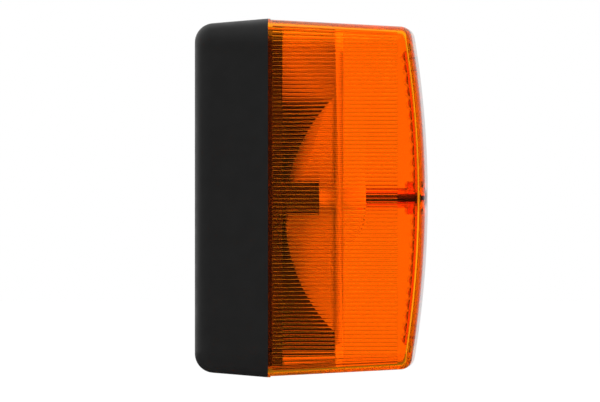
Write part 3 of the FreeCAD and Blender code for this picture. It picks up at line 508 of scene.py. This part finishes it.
def lens_mesh(sizes):
    """The whole lens: outer and inner wall rings, two front patches and the pillars, joined at their edges."""
    outline = perimeter(sizes)
    count = len(outline)
    seam = LENS_LOW.x
    first = seam + sizes.flute_first
    last = LENS_HIGH.x - sizes.flute_last
    outer_stations = np.linspace(seam + sizes.flange, LENS_HIGH.x, OUTER_STATIONS)
    inner_stations = np.concatenate([
        [seam, first - PAST],
        np.linspace(first + PAST, last - PAST, INNER_STATIONS),
        [last + PAST, LENS_HIGH.x],
    ])
    outer = wall_rings(sizes, outline, 0.0, outer_stations, False)
    inner = wall_rings(sizes, outline, sizes.wall, inner_stations, True)
    rim = outline[:, 0:2] + outline[:, 2:4] * sizes.corner
    flange = [columns(x, rim[:, 0], rim[:, 1]) for x in (seam, seam + sizes.flange)]
    rings = inner[::-1] + flange + outer
    blocks = [np.concatenate(rings)]
    quads = [grid_quads(len(rings), count)]
    triangles = []
    total = len(blocks[0])
    plain_lines = [np.linspace(-reach, reach, lines) for reach, lines in PLAIN_GRID]
    for loop, depth, hole, lines in (
        (outer[-1], 0.0, sizes.sink / 2, plain_lines),
        (inner[-1], sizes.wall, sizes.root / 2, row_lines(sizes)),
    ):
        flat, faces = front_patch(sizes, loop[:, 1:3], hole, lines)
        x = front(sizes, flat[:, 0], flat[:, 1], depth)
        if depth > 0:
            x = x - rows_at(sizes, flat[:, 0], flat[:, 1])
        blocks.append(np.column_stack([x, flat]))
        triangles.append(faces + total)
        total += len(flat)
    for place in screw_places():
        rings = pillar_rings(sizes, place)
        blocks.append(np.concatenate(rings))
        quads.append(grid_quads(len(rings), ROUND_POINTS, total))
        total += ROUND_POINTS * len(rings)
    return np.concatenate(blocks), np.concatenate(quads), np.concatenate(triangles)


def coil_mesh():
    """Filament: a small circle carried along a helix whose axis lies across the lamp, closed at both ends."""
    centre = np.array((COIL_LOW + COIL_HIGH) / 2)
    length = COIL_HIGH.y - COIL_LOW.y - 2 * WIRE_RADIUS
    t = np.linspace(0, 1, COIL_TURNS * TURN_STEPS + 1)
    angle = 2 * math.pi * COIL_TURNS * t
    out = np.stack([np.cos(angle), 0 * t, np.sin(angle)], axis=1)
    path = centre + out * COIL_RADIUS + np.outer(length * (t - 0.5), (0, 1, 0))
    along = np.gradient(path, axis=0)
    along /= np.linalg.norm(along, axis=1)[:, None]
    side = np.cross(along, out)
    phase = np.arange(WIRE_SIDES) * (2 * math.pi / WIRE_SIDES)
    ring = out[:, None, :] * np.cos(phase)[None, :, None] + side[:, None, :] * np.sin(phase)[None, :, None]
    points = path[:, None, :] + WIRE_RADIUS * ring
    ends = np.stack([path[0], path[-1]])
    here = np.arange(WIRE_SIDES)
    after = (here + 1) % WIRE_SIDES
    tail = (len(t) - 1) * WIRE_SIDES
    count = len(t) * WIRE_SIDES
    caps = np.concatenate([columns(after, here, count), columns(here + tail, after + tail, count + 1)])
    return np.concatenate([points.reshape(-1, 3), ends]), grid_quads(len(t), WIRE_SIDES), caps


def feed(tree, socket, value):
    """Give a socket a plain value or the output of another node."""
    if isinstance(value, bpy.types.NodeSocket):
        tree.links.new(value, socket)
    else:
        socket.default_value = value


def combine(tree, operation, first, second):
    """One operation on two values."""
    node = tree.nodes.new("ShaderNodeMath")
    node.operation = operation
    feed(tree, node.inputs[0], first)
    feed(tree, node.inputs[1], second)
    return node.outputs["Value"]


def ramp(tree, source, span, levels=(0.0, 1.0), course="LINEAR"):
    """Carry a value from a span onto two levels, held past both ends."""
    node = tree.nodes.new("ShaderNodeMapRange")
    node.interpolation_type = course
    node.inputs["From Min"].default_value = span[0]
    node.inputs["From Max"].default_value = span[1]
    node.inputs["To Min"].default_value = levels[0]
    node.inputs["To Max"].default_value = levels[1]
    tree.links.new(source, node.inputs["Value"])
    return node.outputs["Result"]


def blend_value(tree, share, low, high):
    """Value between low and high by a share."""
    node = tree.nodes.new("ShaderNodeMix")
    for socket, value in zip(node.inputs[:1] + node.inputs[2:4], (share, low, high)):
        feed(tree, socket, value)
    return node.outputs[0]


def blend_colour(tree, share, low, high):
    """Colour between low and high by a share."""
    node = tree.nodes.new("ShaderNodeMix")
    node.data_type = "RGBA"
    for socket, value in zip(node.inputs[:1] + node.inputs[6:8], (share, low, high)):
        feed(tree, socket, value)
    return node.outputs[2]


def new_material(name):
    """Empty material with its output node."""
    made = bpy.data.materials.new(name)
    made.use_nodes = True
    tree = made.node_tree
    tree.nodes.clear()
    return made, tree, tree.nodes.new("ShaderNodeOutputMaterial")


def object_noise(tree, scale, detail):
    """Noise on the object's own coordinates."""
    place = tree.nodes.new("ShaderNodeTexCoord")
    noise = tree.nodes.new("ShaderNodeTexNoise")
    noise.inputs["Scale"].default_value = scale
    noise.inputs["Detail"].default_value = detail
    tree.links.new(place.outputs["Object"], noise.inputs["Vector"])
    return noise.outputs["Fac"]


def shade(tree, source, colour, change):
    """A colour that varies a little either way with a noise value."""
    node = tree.nodes.new("ShaderNodeValToRGB")
    for stop, place, factor in zip(node.color_ramp.elements, NOISE_SPAN, (1 - change, 1 + change)):
        stop.color = (*[min(1.0, c * factor) for c in colour], 1.0)
        stop.position = place
    tree.links.new(source, node.inputs["Fac"])
    return node.outputs["Color"]


def finish(name, colour, roughness, metallic=0.0, grain=2500.0, bump=0.02, change=0.06, blotch=180.0):
    """Opaque finish: colour that drifts a little, roughness that varies and a fine grain in the surface."""
    made, tree, output = new_material(name + "_finish")
    shader = tree.nodes.new("ShaderNodeBsdfPrincipled")
    shader.inputs["Metallic"].default_value = metallic
    drift = object_noise(tree, blotch, detail=4.0)
    tree.links.new(shade(tree, drift, colour, change), shader.inputs["Base Color"])
    rough = (roughness * (1 - ROUGH_CHANGE), roughness * (1 + ROUGH_CHANGE))
    tree.links.new(ramp(tree, drift, NOISE_SPAN, rough), shader.inputs["Roughness"])
    relief = tree.nodes.new("ShaderNodeBump")
    relief.inputs["Strength"].default_value = bump
    relief.inputs["Distance"].default_value = GRAIN_DEPTH
    tree.links.new(object_noise(tree, grain, detail=2.0), relief.inputs["Height"])
    tree.links.new(relief.outputs["Normal"], shader.inputs["Normal"])
    tree.links.new(shader.outputs["BSDF"], output.inputs["Surface"])
    return made


def clear_finish(name, index, roughness=0.01, clear=1.0, tint=WHITE, absorbed=None, density=0.0):
    """Clear moulding or glass, with a slightly uneven polish and, where given, an absorbing body colour."""
    _, tree, output = new_material(name + "_finish")
    shader = tree.nodes.new("ShaderNodeBsdfPrincipled")
    shader.inputs["Base Color"].default_value = (*tint, 1.0)
    shader.inputs["Transmission Weight"].default_value = clear
    shader.inputs["IOR"].default_value = index
    polish = object_noise(tree, scale=60.0, detail=3.0)
    tree.links.new(ramp(tree, polish, NOISE_SPAN, (0.0, roughness)), shader.inputs["Roughness"])
    tree.links.new(shader.outputs["BSDF"], output.inputs["Surface"])
    if absorbed is not None:
        body = tree.nodes.new("ShaderNodeVolumeAbsorption")
        body.inputs["Color"].default_value = (*absorbed, 1.0)
        body.inputs["Density"].default_value = density
        tree.links.new(body.outputs["Volume"], output.inputs["Volume"])


def pale_finish_with_painted_shade(name, colour, painted_shade):
    """Pale moulding with painted shade: dark where the reflector's back lies in shade behind the trough, below
    the flange and up to a height; above that height it stays pale as if lit from above.
    """
    tree = finish(name, colour, roughness=0.35, change=0.02).node_tree
    base = tree.nodes["Principled BSDF"].inputs["Base Color"]
    pale_colour = base.links[0].from_socket
    place = tree.nodes.new("ShaderNodeTexCoord")
    parts = tree.nodes.new("ShaderNodeSeparateXYZ")
    tree.links.new(place.outputs["Object"], parts.inputs["Vector"])
    flat = tree.nodes.new("ShaderNodeCombineXYZ")
    tree.links.new(parts.outputs["X"], flat.inputs["X"])
    tree.links.new(parts.outputs["Z"], flat.inputs["Z"])
    reach = tree.nodes.new("ShaderNodeVectorMath")
    reach.operation = "DISTANCE"
    reach.inputs[1].default_value = (TROUGH_AXIS[0], 0.0, TROUGH_AXIS[1])
    tree.links.new(flat.outputs["Vector"], reach.inputs[0])
    # Mask of the painted shade: outside the trough, behind the flange's back and below a height.
    outside = ramp(tree, reach.outputs["Value"], (TROUGH_RADIUS, TROUGH_RADIUS + PAINTED_SHADE_EDGE))
    below = ramp(tree, parts.outputs["X"], (FLANGE_BACK, FLANGE_BACK - PAINTED_SHADE_EDGE))
    under = ramp(tree, parts.outputs["Z"], (PAINTED_SHADE_TOP + PAINTED_SHADE_FADE, PAINTED_SHADE_TOP - PAINTED_SHADE_FADE))
    share = combine(tree, "MULTIPLY", combine(tree, "MULTIPLY", outside, below), under)
    tree.links.new(blend_colour(tree, share, pale_colour, (*painted_shade, 1.0)), base)


def make_finishes(colours):
    """Make all finishes, named after the record's slots."""
    finish("black_moulding", colours.black, roughness=0.42, bump=0.06)
    clear_finish("amber_lens", LENS_INDEX, clear=colours.amber_clear, tint=colours.amber,
                 absorbed=colours.amber_body, density=colours.amber_density)
    finish("black_rubber", (0.016, 0.016, 0.016), roughness=0.7, bump=0.1)
    finish("dark_steel", (0.03, 0.027, 0.025), roughness=0.45, metallic=1.0, change=0.15)
    finish("plated_steel", (0.62, 0.60, 0.56), roughness=0.3, metallic=1.0, change=0.08)
    # The reflector's finish carries painted shade on its back.
    pale_finish_with_painted_shade("pale_moulding", colours.pale, colours.painted_shade)
    finish("rivet_aluminium", (0.72, 0.72, 0.72), roughness=0.4, metallic=1.0)
    finish("insulator_brown", (0.16, 0.07, 0.03), roughness=0.6, change=0.2)
    finish("contact_brass", (0.70, 0.50, 0.20), roughness=0.3, metallic=1.0, change=0.1)
    clear_finish("clear_glass", GLASS_INDEX)
    finish("cap_brass", (0.72, 0.56, 0.28), roughness=0.28, metallic=1.0, change=0.1)
    finish("insulator_black", (0.02, 0.02, 0.025), roughness=0.15)
    finish("solder", (0.55, 0.55, 0.53), roughness=0.5, metallic=1.0, change=0.15)


def dress(piece, slot):
    """Give a piece the finish of a slot."""
    made = bpy.data.materials.get(slot + "_finish")
    if made is None:
        raise RuntimeError("no finish for " + slot)
    piece.data.materials.clear()
    piece.data.materials.append(made)


class LAMP_OT_finishes(bpy.types.Operator):
    """Make the lamp's finishes and put them on the drawn pieces"""
    bl_idname = "lamp.finishes"
    bl_label = "Finishes"

    def execute(self, context):
        make_finishes(context.scene.lamp_finish)
        for entry in frame["record"]["subparts"]:
            dress(NODES[entry["node"]], entry["material_slot"])
        return {"FINISHED"}


class LAMP_OT_lens(bpy.types.Operator):
    """Make the amber lens with its flutes, optic rows and screw pillars"""
    bl_idname = "lamp.lens"
    bl_label = "Lens"

    def execute(self, context):
        points, quads, triangles = lens_mesh(context.scene.lamp_lens)
        piece = put_mesh("amber_lens", points, quads, triangles, "lens")
        tidy_mesh(piece.data, LENS_MERGE)
        piece.data.set_sharp_from_angle(angle=LENS_SHARP)
        dress(piece, "amber_lens")
        return {"FINISHED"}


class LAMP_OT_filament(bpy.types.Operator):
    """Wind the filament between its two leads"""
    bl_idname = "lamp.filament"
    bl_label = "Filament"

    def execute(self, context):
        points, quads, triangles = coil_mesh()
        piece = put_mesh("filament_coil", points, quads, triangles, "bulb_filament")
        tidy_mesh(piece.data, FINE_MERGE)
        piece.data.set_sharp_from_angle(angle=COIL_SHARP)
        dress(piece, "dark_steel")
        return {"FINISHED"}


class LAMP_OT_mouldings(bpy.types.Operator):
    """Smooth the round faces of the drawn pieces that show"""
    bl_idname = "lamp.mouldings"
    bl_label = "Mouldings"

    smoothed = ("housing", "reflector", "lens_screws", "mounting_sleeves", "cable_grommet", "bulb_glass",
                "bulb_cap", "socket_shell")

    def execute(self, context):
        for node in self.smoothed:
            mesh = NODES[node].data.copy()
            mesh.name = "smooth_" + node
            work = bmesh.new()
            work.from_mesh(mesh)
            bmesh.ops.remove_doubles(work, verts=work.verts, dist=FINE_MERGE)
            for face in work.faces:
                face.smooth = True
            work.to_mesh(mesh)
            work.free()
            mesh.set_sharp_from_angle(angle=DRAWN_SHARP)
            piece = carry(bpy.data.objects.new("smooth_" + node, mesh), node)
            weigh = piece.modifiers.new("even_faces", "WEIGHTED_NORMAL")
            weigh.keep_sharp = True
            weigh.weight = LARGE_FACES
        return {"FINISHED"}


def add_light(name, place, power, side, aim):
    """Soft square lamp at a place, turned to a point and left out of gloss."""
    data = bpy.data.lights.new(name, "AREA")
    data.energy = power
    data.shape = "SQUARE"
    data.size = side
    made = bpy.data.objects.new(name, data)
    bpy.context.scene.collection.objects.link(made)
    made.visible_glossy = False
    made.location = place
    made.rotation_euler = (Vector(aim) - Vector(place)).to_track_quat("-Z", "Y").to_euler()


def past_lamp(tree, place, span, near, far):
    """Level that goes from near to far as a place or direction passes the lamp, away from the camera."""
    parts = tree.nodes.new("ShaderNodeSeparateXYZ")
    tree.links.new(place, parts.inputs["Vector"])
    return ramp(tree, parts.outputs["Y"], span, (near, far))


def bounced(tree, path):
    """One for rays that have met a matte face inside the lamp, nought for the others."""
    return combine(tree, "MINIMUM", path["Diffuse Depth"], 1.0)


def white_world(stage):
    """White where the camera looks past the lamp, and the room that its lens and gloss show.

    Gloss shows a pale room behind the lamp and a dim one on the camera's side. Rays straight through the lens
    see white behind the lamp, a dim room on the camera's side and the light above; after many faces they see
    white. Rays that have met a matte face inside the lamp get the light from the camera's side and from above,
    in a warm tone. All other rays get the fill level.
    """
    world = bpy.data.worlds.new("studio")
    world.use_nodes = True
    tree = world.node_tree
    tree.nodes.clear()
    path = tree.nodes.new("ShaderNodeLightPath").outputs
    toward = tree.nodes.new("ShaderNodeTexCoord").outputs["Generated"]
    aside = tree.nodes.new("ShaderNodeVectorMath")
    aside.operation = "DOT_PRODUCT"
    aside.inputs[1].default_value = Vector(TOP_LIGHT).normalized()
    tree.links.new(toward, aside.inputs[0])
    above = ramp(tree, aside.outputs["Value"], TOP_SPAN, (0.0, stage.top_light), "SMOOTHSTEP")
    gloss = past_lamp(tree, toward, SKY_PASS, stage.near_gloss, FAR_GLOSS)
    straight = past_lamp(tree, toward, SKY_PASS, stage.near_view, FAR_VIEW)
    straight = combine(tree, "MAXIMUM", straight, combine(tree, "MINIMUM", above, TOP_VIEW))
    many = ramp(tree, path["Transmission Depth"], MANY_FACES, (0.0, FAR_VIEW))
    straight = combine(tree, "MAXIMUM", straight, many)
    scattered = past_lamp(tree, toward, SKY_PASS, stage.near_light, FAR_LIGHT)
    scattered = combine(tree, "ADD", scattered, above)
    inside = bounced(tree, path)
    through = blend_value(tree, inside, straight, scattered)
    level = blend_value(tree, path["Is Camera Ray"], stage.fill, 1.0)
    level = blend_value(tree, path["Is Glossy Ray"], level, gloss)
    level = blend_value(tree, path["Is Transmission Ray"], level, through)
    warm = combine(tree, "MULTIPLY", inside, path["Is Transmission Ray"])
    sky = tree.nodes.new("ShaderNodeBackground")
    tree.links.new(blend_colour(tree, warm, (*WHITE, 1.0), (*INSIDE_TONE, 1.0)), sky.inputs["Color"])
    tree.links.new(level, sky.inputs["Strength"])
    output = tree.nodes.new("ShaderNodeOutputWorld")
    tree.links.new(sky.outputs["Background"], output.inputs["Surface"])
    return world


def white_floor(stage):
    """Floor finish: pale and shaded by the lamp where the camera sees it.

    In gloss and through the lens it is white behind the lamp and dim on the camera's side. Rays that have met
    a matte face inside the lamp get the light from the camera's side.
    """
    made, tree, output = new_material("floor_white")
    path = tree.nodes.new("ShaderNodeLightPath").outputs
    place = tree.nodes.new("ShaderNodeTexCoord").outputs["Object"]
    shader = tree.nodes.new("ShaderNodeBsdfDiffuse")
    drift = object_noise(tree, scale=3.0, detail=2.0)
    tree.links.new(shade(tree, drift, FLOOR_TONE, change=0.01), shader.inputs["Color"])
    lift = tree.nodes.new("ShaderNodeEmission")
    tree.links.new(blend_value(tree, path["Is Camera Ray"], 0.0, FLOOR_LIFT), lift.inputs["Strength"])
    both = tree.nodes.new("ShaderNodeAddShader")
    tree.links.new(shader.outputs["BSDF"], both.inputs[0])
    tree.links.new(lift.outputs["Emission"], both.inputs[1])
    gloss = past_lamp(tree, place, SKY_PASS, stage.near_gloss, FAR_GLOSS)
    straight = past_lamp(tree, place, FLOOR_PASS, stage.near_view, FAR_VIEW)
    through = blend_value(tree, bounced(tree, path), straight, stage.near_light)
    level = blend_value(tree, path["Is Transmission Ray"], gloss, through)
    plain = tree.nodes.new("ShaderNodeEmission")
    tree.links.new(level, plain.inputs["Strength"])
    mix = tree.nodes.new("ShaderNodeMixShader")
    indirect = combine(tree, "MAXIMUM", path["Is Glossy Ray"], path["Is Transmission Ray"])
    tree.links.new(indirect, mix.inputs["Fac"])
    tree.links.new(both.outputs["Shader"], mix.inputs[1])
    tree.links.new(plain.outputs["Emission"], mix.inputs[2])
    tree.links.new(mix.outputs["Shader"], output.inputs["Surface"])
    return made


def add_floor(ground):
    """Large level square under the lamp."""
    mesh = bpy.data.meshes.new("floor")
    corners = [(-1, -1), (1, -1), (1, 1), (-1, 1)]
    mesh.from_pydata([(x * FLOOR_REACH, y * FLOOR_REACH, ground) for x, y in corners], [], [(0, 1, 2, 3)])
    floor = bpy.data.objects.new("floor", mesh)
    bpy.context.scene.collection.objects.link(floor)
    return floor


class LAMP_OT_stage(bpy.types.Operator):
    """Set the floor, the light and the camera"""
    bl_idname = "lamp.stage"
    bl_label = "Stage"

    def execute(self, context):
        scene = context.scene
        stage = scene.lamp_stage
        scene.world = white_world(stage)
        floor = add_floor(CAD_BOX[0][2] - stage.floor_drop)
        floor.data.materials.append(white_floor(stage))
        for name, place, power, side in LIGHTS:
            add_light(name, place, power, side, aim=(stage.aim_out, 0.0, stage.aim_up))
        lens = bpy.data.cameras.new("camera")
        lens.sensor_width = SENSOR_WIDTH
        lens.lens = lens.sensor_width * stage.distance / stage.view_width
        lens.clip_end = CLIP_END
        camera = bpy.data.objects.new("camera", lens)
        scene.collection.objects.link(camera)
        camera.location = (stage.aim_out, -stage.distance, stage.aim_up)
        camera.rotation_euler = (math.pi / 2, 0.0, 0.0)
        scene.camera = camera
        scene.cycles.max_bounces = ALL_BOUNCES
        scene.cycles.glossy_bounces = GLOSS_BOUNCES
        scene.cycles.transmission_bounces = LENS_BOUNCES
        scene.view_settings.view_transform = "Standard"
        return {"FINISHED"}


class LAMP_PT_panel(bpy.types.Panel):
    """Lists the lamp's pieces and sizes"""
    bl_idname = "LAMP_PT_panel"
    bl_label = "Indicator lamp"
    bl_space_type = "VIEW_3D"
    bl_region_type = "UI"
    bl_category = "Lamp"

    def draw(self, context):
        for operator in OPERATORS:
            self.layout.operator(operator.bl_idname)
        for group in (context.scene.lamp_lens, context.scene.lamp_finish, context.scene.lamp_stage):
            box = self.layout.box()
            for name in group.__annotations__:
                box.prop(group, name)


GROUPS = (("lamp_lens", LensSizes), ("lamp_finish", FinishColours), ("lamp_stage", StageSettings))
OPERATORS = (LAMP_OT_finishes, LAMP_OT_mouldings, LAMP_OT_lens, LAMP_OT_filament, LAMP_OT_stage)


def register():
    """Add the settings, operators and panel."""
    for name, group in GROUPS:
        bpy.utils.register_class(group)
        setattr(bpy.types.Scene, name, PointerProperty(type=group))
    for made in OPERATORS + (LAMP_PT_panel,):
        bpy.utils.register_class(made)


def unregister():
    """Take the panel, operators and settings away again."""
    for made in (LAMP_PT_panel,) + OPERATORS[::-1]:
        bpy.utils.unregister_class(made)
    for name, group in GROUPS[::-1]:
        delattr(bpy.types.Scene, name)
        bpy.utils.unregister_class(group)


def main():
    """Make every piece in order."""
    register()
    for operator in OPERATORS:
        group, name = operator.bl_idname.split(".")
        getattr(getattr(bpy.ops, group), name)()


if __name__ == "__main__":
    main()
